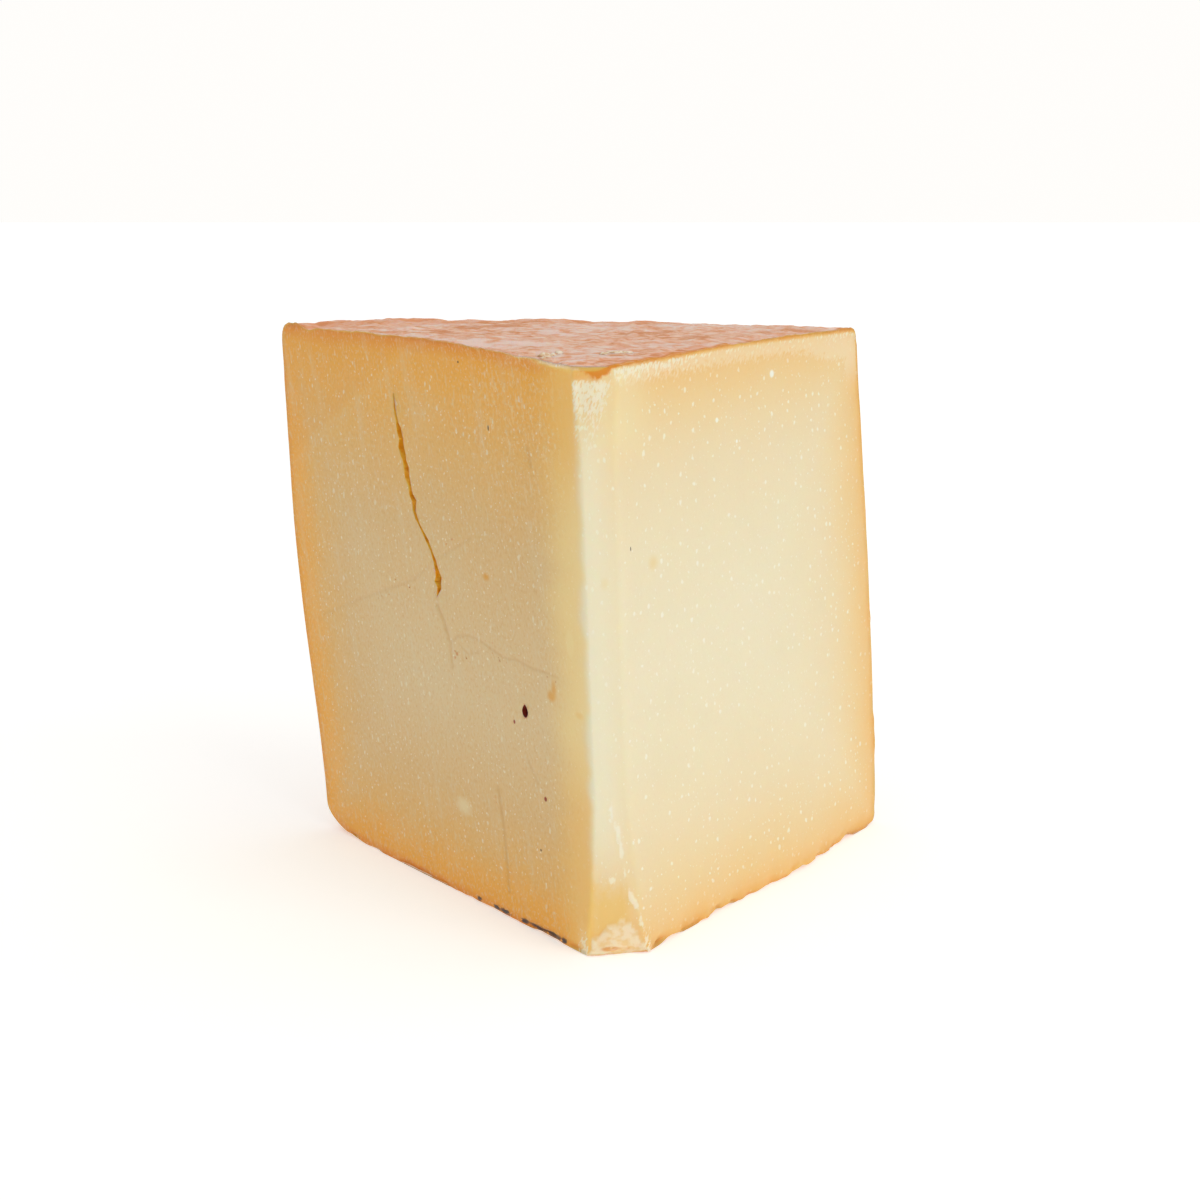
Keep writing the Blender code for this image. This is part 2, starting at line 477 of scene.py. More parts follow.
add_patch(rind_disc(0.0, rim_reaches[0]))
add_patch(rind_disc(HEIGHT, rim_reaches[-1]))

bm = bmesh.new()
made = [bm.verts.new(point) for point in verts]
for face in faces:
    bm.faces.new([made[i] for i in face])
bmesh.ops.remove_doubles(bm, verts=bm.verts, dist=WELD)
bmesh.ops.recalc_face_normals(bm, faces=bm.faces)

# Scars of the left cut face, as (half width, depth, darkness, points), each point a
# distance out from the meeting line and a height, in millimetres.
SCARS = (
    (0.55, 0.22, 0.5, ((51.6, 53.5), (49.5, 50.9), (47.8, 47.0), (47.5, 43.0))),
    (0.30, 0.07, 0.7, ((47.4, 47.3), (45.0, 48.9), (41.5, 49.6), (37.5, 49.3), (33.0, 48.3),
                       (29.4, 47.7), (26.0, 48.1), (21.0, 47.5), (17.0, 47.6), (13.6, 47.4))),
    (0.30, 0.06, 0.5, ((44.7, 47.4), (41.8, 46.1), (38.4, 47.3))),
    (0.40, 0.08, 0.3, ((94.6, 44.7), (78.0, 50.6), (59.7, 56.8), (49.7, 62.5), (39.2, 67.4))),
    (0.50, 0.09, 1.0, ((33.9, 23.5), (32.8, 18.2), (32.3, 11.7), (31.9, 5.0))),
    (0.50, 0.22, 0.6, ((20.0, 85.2), (19.3, 82.3))),
    (0.35, 0.10, 0.4, ((24.0, 31.0), (21.0, 27.5))),
)
MILLIMETRE = 0.001


def spread_out(points):
    """(share, reach, z) of points measured from the foot of the meeting line."""
    z = points[:, 2]
    x = points[:, 0] - MEETING_LINE_LEAN[0] * z / HEIGHT
    y = points[:, 1] - MEETING_LINE_LEAN[1] * z / HEIGHT
    return (np.arctan2(x, y) - LEFT_CUT) / SECTOR, np.hypot(x, y), z


def line_distance(out, z, path):
    """Distance of each (out, z) from a path of straight runs, all in one unit."""
    nearest = np.full(len(out), np.inf)
    for (x0, z0), (x1, z1) in zip(path, path[1:]):
        length = math.hypot(x1 - x0, z1 - z0)
        along = np.clip(((out - x0) * (x1 - x0) + (z - z0) * (z1 - z0)) / length**2, 0, 1)
        gap = np.hypot(out - lerp(x0, x1, along), z - lerp(z0, z1, along))
        nearest = np.minimum(nearest, gap)
    return nearest


# The mesh is finer along the scars.
SCAR_MARGIN = 0.7  # millimetres
SCAR_CUTS = 2
for _ in range(SCAR_CUTS):
    share, reach, z = spread_out(np.array([face.calc_center_median() for face in bm.faces]))
    near = np.zeros(len(share), bool)
    for half_width, _, _, path in SCARS:
        gap = line_distance(reach / MILLIMETRE, z / MILLIMETRE, path)
        near |= gap < half_width + SCAR_MARGIN
    near &= np.abs(share) * reach < ON_LEFT_FACE
    edges = {edge for face, chosen in zip(bm.faces, near) if chosen for edge in face.edges}
    bmesh.ops.subdivide_edges(bm, edges=list(edges), cuts=1, use_grid_fill=True)


def rub_down(rubbed, passes):
    """Evens out the chosen vertices."""
    for _ in range(passes):
        bmesh.ops.smooth_vert(
            bm, verts=rubbed, factor=0.5, use_axis_x=True, use_axis_y=True, use_axis_z=True
        )


# Every edge is worn, and the nose is worn most: its right edge and its foot.
SHARP = math.radians(40)
corner_edges = [edge for edge in bm.edges if edge.calc_face_angle(0.0) > SHARP]
corner_verts = {vert for edge in corner_edges for vert in edge.verts}
beside = {edge.other_vert(vert) for vert in corner_verts for edge in vert.link_edges}
rub_down(list(corner_verts | beside), 3)
share, reach, z = spread_out(np.array([vert.co[:] for vert in bm.verts]))
off_rinds = (z > 0.0004) & (z < 0.0975)
right_edge = off_rinds & (share > 0.55) & (reach < 0.0125)
worn_foot = off_rinds & (z < FOOT_HEIGHT) & (reach < 0.0150)
for chosen, passes in ((right_edge, 12), (worn_foot, 3)):
    rub_down([vert for vert, wanted in zip(bm.verts, chosen) if wanted], passes)
cheese_mesh = bpy.data.meshes.new("cheese")
bm.to_mesh(cheese_mesh)
bm.free()


def points_and_normals(mesh):
    """Where a mesh's vertices are and which way they face."""
    read = np.empty((2, len(mesh.vertices) * 3), np.float32)
    mesh.vertices.foreach_get("co", read[0])
    mesh.vertex_normals.foreach_get("vector", read[1])
    return read.reshape(2, -1, 3).astype(float)


points, normals = points_and_normals(cheese_mesh)


def outsideness(share, normals):
    """1 on the rind, 0 on the two cut faces and on the nose."""
    angle = lerp(LEFT_CUT, RIGHT_CUT, share)
    outward = np.sin(angle) * normals[:, 0] + np.cos(angle) * normals[:, 1]
    return smooth((np.maximum(np.abs(normals[:, 2]), outward) - 0.35) / 0.4)


def under_rind(share, reach, z, top_slows=1.0):
    """How deep a point lies below the nearest stretch of rind."""
    share = np.clip(share, 0.0, 1.0)
    base_run, base_rise = shoulder(BASE_SHOULDER, share)
    top_run, top_rise = shoulder(TOP_SHOULDER, share)
    rim = rind_reach(share, z)
    over_base = np.clip((reach - rim + base_run) / base_run, 0, 1)
    over_top = np.clip((reach - rim + top_run) / top_run, 0, 1)
    base = z - base_rise * (1 - np.sqrt(1 - over_base**2))
    top = HEIGHT + crown(share, reach) - top_rise * (1 - np.sqrt(1 - over_top**2)) - z
    return np.clip(np.minimum(np.minimum(base, top * top_slows), rim - reach), 0, None)


def unroll(share, reach, z):
    """Both cut faces laid flat: x runs from the left rind through the nose to the right."""
    across = np.clip((share - 0.5) * 2, -1, 1) * reach
    return np.stack([across, z, np.zeros(len(z))], axis=-1)


def crumbliness(share, reach, z):
    """Where the knife tore the paste instead of slicing it: 1 at the worst places."""
    across = unroll(share, reach, z)[:, 0]
    below_top = HEIGHT + crown(share, reach) - z
    fringe = smooth(1 - below_top / 0.0050) * smooth((below_top - 0.0005) / 0.0008)
    fringe *= smooth((across - 0.003) / 0.004) * (1 - 0.5 * smooth((across - 0.012) / 0.030))
    fringe *= 1 + 0.35 * smooth((across - 0.074) / 0.012)
    column = smooth((across + 0.0066) / 0.0008)
    column *= smooth((0.0085 - 0.45 * below_top - across) / 0.0045)
    column *= smooth(1 - below_top / 0.021) * smooth((below_top - 0.0022) / 0.0012)
    left_edge = 0.45 * smooth(1 - below_top / 0.0018) * bell(across, -0.014, 0.014)
    corners = bell(across, -0.0090, 0.0026) + bell(across, 0.0100, 0.0024)
    corners *= 0.85 * smooth(1 - z / 0.0075)
    return np.clip(np.maximum.reduce([fringe, column, left_edge, corners]), 0, 1)


# Lines on the unrolled nose, as (across, height), and half widths, all in millimetres.
FOOT_RIDGE = ((0.1, 30), (0.8, 25), (2.6, 20), (3.9, 16), (5.5, 11), (8.1, 6.5), (10.6, 1))
FOOT_LEDGE = ((-2.5, 15.0), (-0.5, 14.4), (1.4, 13.8), (3.2, 14.0), (4.8, 12.4))
RIDGE_WIDTH = 0.75
LEDGE_WIDTH = 0.40


def ridges(share, reach, z):
    """The crumbled edge between the worn foot and the right cut, and a ledge across it."""
    face = unroll(share, reach, z) / MILLIMETRE
    across, height = face[:, 0], face[:, 1]
    rag = 0.7 * grain(face, 2.6, 15)
    edge = line_distance(across + rag, height, FOOT_RIDGE)
    ledge = line_distance(across, height + rag, FOOT_LEDGE)
    broken = smooth(0.70 + 0.9 * grain(face, 1.9, 20))
    edge = np.exp(-((edge / RIDGE_WIDTH) ** 2)) * smooth((0.033 - z) / 0.012)
    return np.maximum(edge, np.exp(-((ledge / LEDGE_WIDTH) ** 2))) * broken


def plate(share, reach, z):
    """The pale flake pressed flat over the foot of the nose, with a ragged upper edge."""
    face = unroll(share, reach, z)
    across = face[:, 0]
    rag = 0.0007 * grain(face, 0.0024, 5)
    ceiling = 0.0040 + 0.0020 * bell(across, 0.002, 0.007)
    ceiling -= 0.0022 * smooth((across - 0.006) / 0.004)
    within = smooth((0.0086 + rag - np.abs(across - 0.0012)) / 0.0006)
    within *= smooth((0.5 - np.abs(share - 0.5)) / 0.02 + 1.0)
    return smooth((ceiling + rag - z) / 0.0004) * within


def bumps(height, pitch, seed, stretch=(1, 1, 1)):
    """Bumps over the whole wedge, of that height and pitch, in metres."""
    return height * grain(points * stretch, pitch, seed)


share, reach, z = spread_out(points)
rind = outsideness(share, normals)
paste = 1.0 - rind
across = unroll(share, reach, z)[:, 0]

# The cut faces: a faint swell, torn places, a bow low on the right, lumps near the base,
# and at the foot of the nose its ridges and the flake pressed over it.
swell = bumps(0.00010, 0.011, 1) + bumps(0.00004, 0.004, 2)
torn = bumps(0.00030, 0.0011, 3) + bumps(0.00022, 0.0006, 4)
bow = 0.0015 * bell(across, 0.062, 0.024) * smooth(1 - z / 0.024)
lumps = bumps(0.0005, 0.0052, 16, (1, 1, 0.5)) * smooth(1 - z / 0.010)
lumps += bumps(0.0004, 0.0021, 22, (1, 1, 0.5)) * smooth(1 - z / 0.004)
lumps -= 0.0003 * smooth(1 - z / 0.006)
height = swell + crumbliness(share, reach, z) * torn + bow + lumps * smooth(across / 0.012)
height += ridges(share, reach, z) * (0.00030 + bumps(0.00025, 0.0009, 17))
near_foot = smooth(1 - z / FOOT_HEIGHT) * smooth(1 - np.abs(across) / 0.012)
height += near_foot * bumps(0.00022, 0.0030, 18)
height += plate(share, reach, z) * (0.00035 + bumps(0.00012, 0.0014, 6))
for half_width, depth, _, path in SCARS:
    gap = line_distance(reach / MILLIMETRE, z / MILLIMETRE, path) / half_width
    height -= (share < 0.25) * depth * MILLIMETRE * np.exp(-(gap**2))
chipped = smooth((grain(points, 0.0030, 10) - 0.1) / 0.4) * smooth(1 - z / 0.0022)
height -= 0.00050 * chipped
beside_foot = bell(np.abs(across), 0.0145, 0.0075) * smooth(1 - z / 0.0035)
height -= beside_foot * (0.00015 + bumps(0.0003, 0.0032, 19))

# The rind: wrinkled all over, with level waves where it meets the right cut.
wrinkle = bumps(0.00030, 0.008, 7, (1, 1, 1.6)) + bumps(0.00014, 0.0027, 8)
waves = bumps(0.00055, 0.0036, 9, (0.2, 0.2, 1))
waves *= smooth(1.2 - z / 0.08) * smooth((share - 0.8) / 0.15)
rind_height = smooth(z / 0.004) * (wrinkle + waves - 0.00030)
moved = points + normals * (paste * height + rind * rind_height)[:, None]

# The upper rind's brink is uneven, it peeled in thin steps near the nose, and it stands
# a little higher along the left part of its far edge.
at_top = smooth((z - 0.09) / 0.005)
lip = smooth(1 - under_rind(share, reach, z) / 0.0012) * at_top
moved[:, 2] += lip * (bumps(0.00022, 0.0035, 11) + bumps(0.00016, 0.0012, 12) - 0.0001)
on_top = rind * smooth((z - 0.097) / 0.002)
from_cut = np.minimum(share, 1 - share) * reach * SECTOR
from_cut = np.minimum(from_cut, reach - nose_reach(0.5, HEIGHT)) + bumps(0.0006, 0.004, 14)
peeled = bell(reach, 0.0, 0.034) * smooth(1 - (share - 0.55) / 0.4)
for edge, step in ((0.0016, 0.00055), (0.0034, 0.00030), (0.0060, 0.00022)):
    moved[:, 2] -= on_top * peeled * step * smooth((edge - from_cut) / 0.00045)
raised = smooth((share - 0.035) / 0.03) * smooth((0.45 - share) / 0.25)
raised *= smooth((reach - 0.088) / 0.010)
moved[:, 2] += on_top * 0.0006 * raised
left_corner = smooth(1 - share * reach / 0.010) * smooth((z - 0.085) / 0.01)
notch = 0.0004 * bell(reach, 0.0995, 0.004) - 0.0007 * bell(reach, 0.0945, 0.0045)
moved[:, 2] += left_corner * notch
moved[:, 2] = np.where(z < 0.0003, np.maximum(points[:, 2], 0), np.maximum(moved[:, 2], 0))

# The crust broke away in bites along the base of both cuts, more on the right.
from_right = np.clip(1 - share, 0, 1) * reach * SECTOR
from_left = np.clip(share, 0, 1) * reach * SECTOR
bites = 0.30 + bumps(0.9, 0.0058, 24, (1, 1, 0)) + bumps(0.6, 0.0026, 25, (1, 1, 0))
bites = np.clip(bites, 0, 1.5)
bites *= smooth(1 - from_right / 0.0030) + 0.4 * smooth(1 - from_left / 0.0030)
moved[:, 2] += 0.00085 * bites * smooth(1 - z / 0.0045) * smooth((reach - 0.012) / 0.006)

# The wedge stands in the middle of the CAD box: foot is the place of the meeting line.
own_low, own_high = np.array(verts).min(axis=0), np.array(verts).max(axis=0)
foot = np.array((cad_low + cad_high) / 2) - (own_low + own_high) / 2
foot[2] = 0.0
cheese_mesh.vertices.foreach_set("co", (moved + foot).astype(np.float32).ravel())
cheese_mesh.shade_smooth()
cheese = link_object("cheese", cheese_mesh)

# The split opened along the left cut as the wheel dried, and the eye is a gas bubble
# that the knife passed through. Both are taken out of the body.
SPLIT_PATH = (  # (out, height, half width), in millimetres
    (63.1, 90.4, 0.08),
    (62.9, 87.4, 0.30),
    (62.3, 85.0, 0.44),
    (61.9, 84.0, 0.85),
    (61.3, 82.4, 0.72),
    (61.4, 80.9, 1.02),
    (60.7, 79.2, 0.86),
    (60.5, 78.4, 0.60),
    (60.0, 77.2, 0.92),
    (59.9, 75.6, 0.80),
    (59.1, 74.0, 0.50),
    (58.7, 72.4, 0.62),
    (57.7, 71.4, 0.80),
    (57.9, 69.6, 0.50),
    (57.2, 68.4, 0.46),
    (56.3, 67.3, 0.22),
    (54.9, 65.9, 0.34),
    (53.6, 64.5, 0.46),
    (52.5, 63.0, 0.30),
    (51.6, 61.2, 0.52),
    (51.0, 59.8, 0.62),
    (50.5, 58.6, 1.05),
    (50.9, 57.6, 1.10),
    (50.5, 56.6, 0.66),
    (51.4, 55.0, 0.08),
)
CLEARANCE = 0.0015  # how far the blade stands out in front of the face
SPLIT_TAPER = (  # (metres off the cut face, share of the half width)
    (CLEARANCE, 1.0),
    (0.0, 1.0),
    (-0.0012, 0.80),
    (-0.0023, 0.5),
    (-0.0034, 0.05),
)
SPLIT_JOG = 0.22  # how far its walls wander, in millimetres
EYE_PLACE = (24.1, 39.4)  # (out, height), in millimetres
EYE_SIZE = (0.88, 1.6, 1.14)  # half width, depth and half height, in millimetres

along = np.array((math.sin(LEFT_CUT), math.cos(LEFT_CUT), 0.0))
up = np.array((MEETING_LINE_LEAN[0] / HEIGHT, MEETING_LINE_LEAN[1] / HEIGHT, 1.0))
outward = np.cross(up / np.linalg.norm(up), along)


def left_face_point(out, z, off=0.0):
    """A point of the left cut, out and z in millimetres, off metres in front of it."""
    return foot + place(0.0, out * MILLIMETRE, z * MILLIMETRE) + outward * off


def cutter_object(name, bm, finish):
    """A closed body to take out of the cheese, with the finish of the walls it leaves."""
    bmesh.ops.recalc_face_normals(bm, faces=bm.faces)
    mesh = bpy.data.meshes.new(name)
    bm.to_mesh(mesh)
    bm.free()
    mesh.materials.append(finish)
    cutter = link_object(name, mesh)
    cutter.hide_render = True
    return cutter


def split_blade(finish):
    """A ragged blade, widest outside the cut face and thinned to nothing inside it."""
    bm = bmesh.new()
    rows = []
    path = np.array(SPLIT_PATH)
    runs = np.gradient(path[:, :2], axis=0)
    for i, (out, z, half_width) in enumerate(path):
        side = np.array((runs[i][1], -runs[i][0])) / np.hypot(*runs[i])
        row = []
        for off, share in SPLIT_TAPER:
            jog = SPLIT_JOG * math.sin(2.3 * i + 700 * off) * (share < 0.9)
            for way in (-1, 1):
                corner = (out, z) + side * (way * half_width * share + jog)
                row.append(bm.verts.new(left_face_point(*corner, off)))
        rows.append(row[0::2] + row[:0:-2])
    for row, following in zip(rows, rows[1:]):
        for i in range(len(row)):
            j = (i + 1) % len(row)
            bm.faces.new((row[i], row[j], following[j], following[i]))
    bm.faces.new(rows[0])
    bm.faces.new(rows[-1])
    return cutter_object("split_blade", bm, finish)


def eye_bubble(finish):
    """An upright drop, narrower at the top."""
    bm = bmesh.new()
    bmesh.ops.create_icosphere(bm, subdivisions=4, radius=1.0)
    for vert in bm.verts:
        x, y, z = vert.co
        narrow = 1.0 - 0.35 * max(z, 0.0)
        out = EYE_PLACE[0] + EYE_SIZE[0] * x * narrow
        height = EYE_PLACE[1] + EYE_SIZE[2] * z
        vert.co = left_face_point(out, height, EYE_SIZE[1] * MILLIMETRE * y)
    return cutter_object("eye_bubble", bm, finish)


def wall_finish(name, deep, lit):
    """The paste inside an opening, in the deep colour and, where the noise says, the lighter one.
    The colours given carry painted shade or painted light.
    """
    finish = Finish(bpy.data.materials.new(name))
    where = finish.node("TexCoord", output=3)
    speckle = finish.node("TexNoise", None, {"Vector": where, "Scale": 900.0, "Detail": 3.0})
    colour = finish.mix(deep, lit, finish.between(speckle, 0.35, 0.7))
    bump = finish.node("Bump", None, {"Height": speckle, "Distance": 0.0003, "Strength": 0.6})
    shader = finish.node("BsdfPrincipled", None, {
        "Base Color": colour,
        "Roughness": 0.4,
        "Normal": bump,
        "Subsurface Weight": 0.4,
        "Subsurface Scale": 0.002,
        "Subsurface Radius": (1.0, 0.5, 0.2),
    })
    finish.node("OutputMaterial", None, {"Surface": shader})
    return finish.owner


# The walls of an opening take the finish of the body that cut them.
cheese_finish = Finish(bpy.data.materials.new("aged_cheese"))
cheese_mesh.materials.append(cheese_finish.owner)
cutters = [
    # The split: its own amber, brightened with painted light for the light shining through the
    # paste.
    split_blade(wall_finish("split_wall_and_painted_light", tone(242, 178, 36), tone(252, 208, 84))),
    # The eye: painted shade, near-black maroon for the dark inside the hole.
    eye_bubble(wall_finish("eye_wall_painted_shade", tone(104, 26, 16), tone(150, 52, 34))),
]
for cutter in cutters:
    boolean = cheese.modifiers.new(cutter.name, "BOOLEAN")
    boolean.operation = "DIFFERENCE"
    boolean.solver = "EXACT"
    boolean.material_mode = "TRANSFER"
    boolean.object = cutter
evaluated = cheese.evaluated_get(bpy.context.evaluated_depsgraph_get())
opened = bpy.data.meshes.new_from_object(evaluated)
opened.name = "cheese_opened"
cheese.modifiers.clear()
cheese.data = opened
for cutter in cutters:
    bpy.data.objects.remove(cutter)

# Crumbs that the knife left on the upper rind beside the nose, stuck where they fell.
CRUMBS = (  # (share of the sector, reach, length, width, height, turn), lengths in millimetres
    (0.17, 19.8, 1.3, 0.9, 0.62, 0.4),
    (0.24, 20.6, 0.9, 0.6, 0.45, 1.9),
    (0.30, 22.2, 0.8, 0.6, 0.40, 1.2),
    (0.12, 18.0, 0.6, 0.5, 0.35, 0.9),
    (0.05, 14.6, 0.5, 0.4, 0.30, 2.6),
    (0.66, 21.0, 1.9, 1.0, 0.26, 0.2),
    (0.72, 23.4, 1.2, 0.9, 0.24, 1.2),
    (0.59, 19.4, 0.9, 0.7, 0.26, 2.2),
)
bm = bmesh.new()
bm.from_mesh(opened)
rind_surface = BVHTree.FromBMesh(bm)
is_crumb = bm.verts.layers.float.new("crumb")
DOWN = Vector((0, 0, -1))
for number, (share, reach, *size, turn) in enumerate(CRUMBS):
    spot_x, spot_y, _ = foot + place(share, reach * MILLIMETRE, HEIGHT)
    ground = rind_surface.ray_cast(Vector((spot_x, spot_y, 2 * HEIGHT)), DOWN)[0]
    spin = Matrix.Rotation(turn, 3, "Z")
    for vert in bmesh.ops.create_icosphere(bm, subdivisions=3, radius=MILLIMETRE)["verts"]:
        angular = 1.0 + 0.45 * noise.noise(vert.co / MILLIMETRE * 1.3 + Vector((number, 0, 0)))
        vert[is_crumb] = 1.0
        vert.co = ground + spin @ Vector(a * b for a, b in zip(vert.co * angular, size))
for face in bm.faces:
    if all(vert[is_crumb] for vert in face.verts):
        face.material_index = len(opened.materials)
        face.smooth = True
bm.to_mesh(opened)
bm.free()
crumb_finish = Finish(bpy.data.materials.new("dry_crumb"))
where = crumb_finish.node("TexCoord", output=3)
speckle = crumb_finish.node("TexNoise", None, {"Vector": where, "Scale": 1400.0, "Detail": 2.0})
speckled = crumb_finish.between(speckle, 0.38, 0.58)
crumb_bump = {"Height": speckle, "Distance": 0.0003, "Strength": 0.8}
crumb_shader = crumb_finish.node("BsdfPrincipled", None, {
    "Base Color": crumb_finish.mix(tone(234, 202, 158), tone(250, 238, 216), speckled),
    "Roughness": 0.7,
    "Normal": crumb_finish.node("Bump", None, crumb_bump),
})
crumb_finish.node("OutputMaterial", None, {"Surface": crumb_shader})
opened.materials.append(crumb_finish.owner)

# What the finish needs to know of each point, kept on the mesh as it was worked out above.
points, normals = points_and_normals(opened)
points -= foot
share, reach, z = spread_out(points)
rind = outsideness(share, normals)


def keep(name, values):
    """Keeps a number, or a vector, for each point of the mesh."""
    kind, field = ("FLOAT", "value") if values.ndim == 1 else ("FLOAT_VECTOR", "vector")
    layer = opened.attributes.new(name, kind, "POINT")
    layer.data.foreach_set(field, values.astype(np.float32).ravel())


scar = np.zeros(len(points))
for half_width, _, darkness, path in SCARS:
    gap = line_distance(reach / MILLIMETRE, z / MILLIMETRE, path) / half_width
    scar = np.maximum(scar, darkness * (share < 0.25) * np.exp(-(gap**2)))
keep("depth", under_rind(share, reach, z) * (1 - rind) / MILLIMETRE)
keep("ripened", under_rind(share, reach, z, lerp(0.6, 1.0, share)) * (1 - rind) / MILLIMETRE)
keep("outside", rind)
keep("upper", smooth((normals[:, 2] - 0.3) / 0.5))
keep("shoulder", smooth((reach - 0.088) / 0.006) * smooth((z - 0.096) / 0.003) * rind)
keep("scar", scar * (1 - rind))
from_nose = reach - nose_reach(np.clip(share, 0, 1), HEIGHT)
from_cut = np.minimum(np.minimum(share, 1 - share) * reach * SECTOR, from_nose)
from_cut += bumps(0.0003, 0.002, 21)
keep("brink", smooth(1.25 - from_cut / 0.0010) * rind * smooth((z - 0.09) / 0.005))
keep("crumble", crumbliness(share, reach, z) * (1 - rind))
keep("flake", plate(share, reach, z) * (1 - rind))
keep("ridge", ridges(share, reach, z) * (1 - rind))
keep("unrolled", unroll(share, reach, z) / MILLIMETRE)

between = cheese_finish.between


def kept(name, output=2):
    """What was kept on the mesh under that name; output 1 is for a vector."""
    return cheese_finish.node("Attribute", {"attribute_name": name}, output=output)


def part_of(vector, axis):
    """One coordinate of a vector."""
    return cheese_finish.node("SeparateXYZ", None, {"Vector": vector}, output=axis)


def on_face(across, height):
    """A place on the unrolled cut faces."""
    return cheese_finish.node("CombineXYZ", None, {"X": across, "Y": height, "Z": 0.0})


def stretched(vector, *pitch):
    """The vector with each axis counted in its own pitch."""
    shrink = tuple(1.0 / p for p in pitch)
    return cheese_finish.node("VectorMath", {"operation": "MULTIPLY"}, {0: vector, 1: shrink})


def mottle(vector, pitch, detail=2.0, roughness=0.5, output=0):
    """Noise from 0 to 1 about 0.5, in bumps of the given pitch; output 1 is three at once."""
    pitch = pitch if isinstance(pitch, tuple) else (pitch,) * 3
    where = stretched(vector, *pitch)
    sockets = {"Vector": where, "Scale": 1.0, "Detail": detail, "Roughness": roughness}
    return cheese_finish.node("TexNoise", None, sockets, output=output)


def stirred(vector, pitch, detail, throw):
    """The vector thrown about by noise, as far as throw says on each axis."""
    sockets = {0: mottle(vector, pitch, detail, output=1), 1: throw, 2: vector}
    return cheese_finish.node("VectorMath", {"operation": "MULTIPLY_ADD"}, sockets)


depth = kept("depth")
outside = kept("outside")
scarred = kept("scar")
crumbly = kept("crumble")
flaked = kept("flake")
ridged = kept("ridge")
ripened = kept("ripened")
facing_up = kept("upper")
far_edge = kept("shoulder")
brink = kept("brink")
flat = kept("unrolled", output=1)
flat_x = part_of(flat, 0)
flat_z = part_of(flat, 1)
solid = cheese_finish.node("TexCoord", output=3)

# The paste: straw in the middle of each face and amber towards the rind, where it dried
# and ripened most. The left face is darker and yellower: partly its own browner colour,
# partly painted shade, as it lies in shade, and painted yellow light come through the paste.
# From here on lengths on the faces are in millimetres: flat_x out from the nose, flat_z up,
# and depth under the rind.
DEEPEST = 50.0  # the depth at which the colour ramps end
edge_wander = (mottle(flat, (40.0, 7.0, 1.0), 2.0) - 0.5) * 5.0
from_edge = flat_x * -1.0 + edge_wander
left = between(from_edge, 4.6, 6.6) * 0.45 + between(from_edge, 5.0, 14.0) * 0.55
wander = mottle(solid, 0.013, 2.0) - 0.5
ripeness = (ripened + wander * 5.0 * between(depth, 0.5, 8.0)) / DEEPEST
RIGHT_TONES = (  # (millimetres under the rind, colour)
    (0.0, tone(230, 156, 70)),
    (0.9, tone(238, 184, 102)),
    (2.2, tone(241, 197, 126)),
    (5.0, tone(242, 206, 142)),
    (9.0, tone(242, 213, 157)),
    (14.0, tone(242, 219, 171)),
    (20.0, tone(241, 223, 182)),
    (32.0, tone(241, 228, 191)),
    (46.0, tone(241, 230, 196)),
)
# The left face's own browner colour, darkened with painted shade and yellowed with painted light
# come through the paste.
LEFT_TONES_WITH_PAINTED_SHADE = (
    (0.0, tone(216, 124, 26)),
    (0.8, tone(234, 154, 44)),
    (2.0, tone(243, 176, 62)),
    (5.0, tone(244, 181, 78)),
    (11.0, tone(235, 187, 108)),
    (20.0, tone(228, 192, 132)),
    (32.0, tone(229, 200, 148)),
    (46.0, tone(230, 206, 158)),
)


def ripening(stops):
    """The paste's colour by its depth under the rind."""
    settings = {"stops": [(deep / DEEPEST, colour) for deep, colour in stops]}
    return cheese_finish.node("ValToRGB", settings, {"Fac": ripeness})


both_faces = cheese_finish.mix(ripening(RIGHT_TONES), ripening(LEFT_TONES_WITH_PAINTED_SHADE), left)
paste_coats = Coats(cheese_finish, both_faces)

# Knife drag: fine slanted strokes, broad upright smears and, high on the left, curls that
# the blade raised. The upper outer corner of the left face is painted darker, painted shade
# of a faint change of plane, with a painted highlight along its border.
STROKE_SLANT = 0.22
SHADE_LINE_SLOPE = 0.53
SHADE_LINE_HEIGHT = 129.7
pale = tone(228, 214, 176)
ochre = tone(212, 158, 84)
leaning = on_face(flat_x + flat_z * STROKE_SLANT, flat_z)
strokes = mottle(leaning, (0.42, 2.0, 1.0), 2.0, 0.6)
nicks = mottle(leaning, (0.9, 3.2, 1.0), 1.0)
smears = mottle(leaning, (3.5, 26.0, 1.0), 1.0)
fine = mottle(solid, 0.0011, 3.0, 0.6)
cloud = mottle(solid, 0.016, 2.0)
orange_peel = mottle(flat, (0.55, 0.75, 1.0), 2.0)
paste_coats.lay(pale, between(orange_peel, 0.52, 0.72) * (left * 0.30 + 0.10))
paste_coats.lay(ochre, between(orange_peel, 0.48, 0.28) * (left * 0.22 + 0.05))
curled = mottle(flat, (1.5, 1.9, 1.0), 2.0) - 0.5
curls = 1.0 - between(curled.size(), 0.015, 0.055)
curls = curls * left * between(flat_z, 60.0, 92.0) * (1.0 - between(flat_x * -1.0, 24.0, 46.0))
curls = curls * between(nicks, 0.42, 0.58)
paste_coats.lay(tone(246, 222, 172), curls * 0.38)
# Painted shade: past a slanted line, the upper outer corner of the left face is laid darker and
# oranger.
past_shade_line = flat_z - flat_x * SHADE_LINE_SLOPE - SHADE_LINE_HEIGHT + (mottle(flat, 6.0) - 0.5) * 3.0
painted_corner_shade = between(past_shade_line, -0.8, 1.4) * left
paste_coats.lay(tone(222, 152, 70), painted_corner_shade * 0.12)
